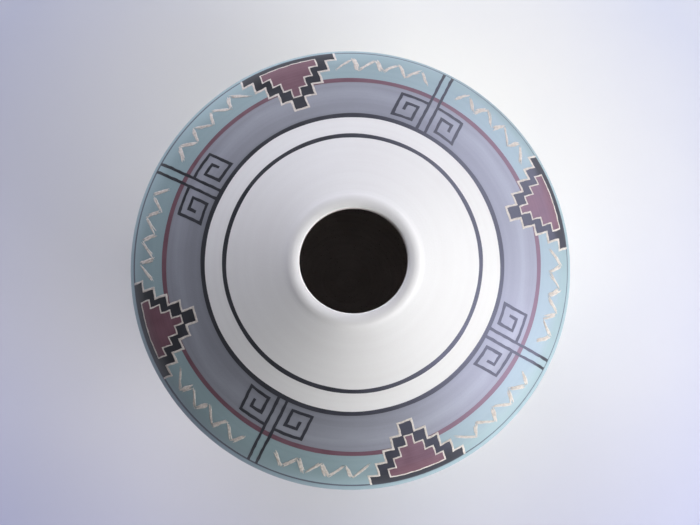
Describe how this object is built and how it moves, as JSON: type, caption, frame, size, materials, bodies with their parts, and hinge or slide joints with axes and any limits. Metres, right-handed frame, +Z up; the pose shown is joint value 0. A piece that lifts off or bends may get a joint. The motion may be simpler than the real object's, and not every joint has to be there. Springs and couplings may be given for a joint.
{
  "type": "pottery vase",
  "caption": "Squat round pottery vase: small rolled mouth, white conical collar, grey and turquoise slip bands, wide rounded shoulder, body tapering to a narrow flat foot.",
  "frame": {"origin": "centre of the foot ring, on the surface that the vase stands on", "axes": "+Z up along the axis that the vase is turned about; X and Y are across, with no front"},
  "size_m": [0.19, 0.19, 0.115],
  "materials": {
    "bare_clay": "matt bare fired clay",
    "turquoise_slip": "satin turquoise slip",
    "grey_slip": "satin bluish-grey slip",
    "white_slip": "matt white slip"
  },
  "bodies": {
    "root": {"base_slab": "bare_clay", "lower_wall": "turquoise_slip", "middle_wall": "turquoise_slip", "belly_wall": "turquoise_slip", "shoulder_edge": "turquoise_slip", "shoulder_wall": "grey_slip", "collar": "white_slip", "lip_coil": "white_slip"}
  },
  "joints": []
}
